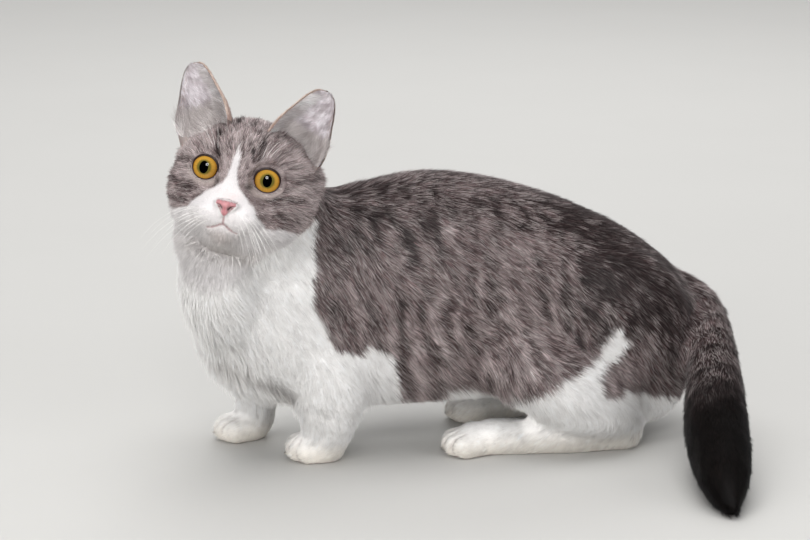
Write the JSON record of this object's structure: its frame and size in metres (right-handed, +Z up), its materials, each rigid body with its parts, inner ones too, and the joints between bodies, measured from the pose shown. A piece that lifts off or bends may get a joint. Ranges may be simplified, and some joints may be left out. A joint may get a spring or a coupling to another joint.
{
  "type": "munchkin cat",
  "caption": "Life-size short-legged cat, still model, standing low on short legs with its head turned to its left and its tail laid beside it.",
  "frame": {"origin": "centre of the bounding box on the floor, z = 0 at the soles", "axes": "+Z up, -X forwards along the body, -Y to the cat's left, where its head and tail turn"},
  "size_m": [0.3684, 0.2794, 0.2532],
  "materials": {
    "grey_coat": "short grey tabby fur with silvery hair ends",
    "dark_coat": "short dark grey-brown fur",
    "white_coat": "short white fur",
    "nose_leather": "bare pink nose leather",
    "amber_eye": "wet amber eye with a dark pupil"
  },
  "bodies": {
    "root": {"head": "grey_coat", "nose": "nose_leather", "eye_left": "amber_eye", "eye_right": "amber_eye", "ear_left": "grey_coat", "ear_right": "grey_coat", "neck": "white_coat", "chest": "white_coat", "shoulder_left": "grey_coat", "shoulder_right": "grey_coat", "foreleg_left": "white_coat", "foreleg_right": "white_coat", "forepaw_left": "white_coat", "forepaw_right": "white_coat", "abdomen": "grey_coat", "rump": "grey_coat", "haunch_left": "grey_coat", "haunch_right": "grey_coat", "hind_foot_left": "white_coat", "hind_foot_right": "white_coat", "hindpaw_left": "white_coat", "hindpaw_right": "white_coat", "tail_root": "grey_coat", "tail_middle": "grey_coat", "tail_tip": "dark_coat"}
  },
  "joints": []
}
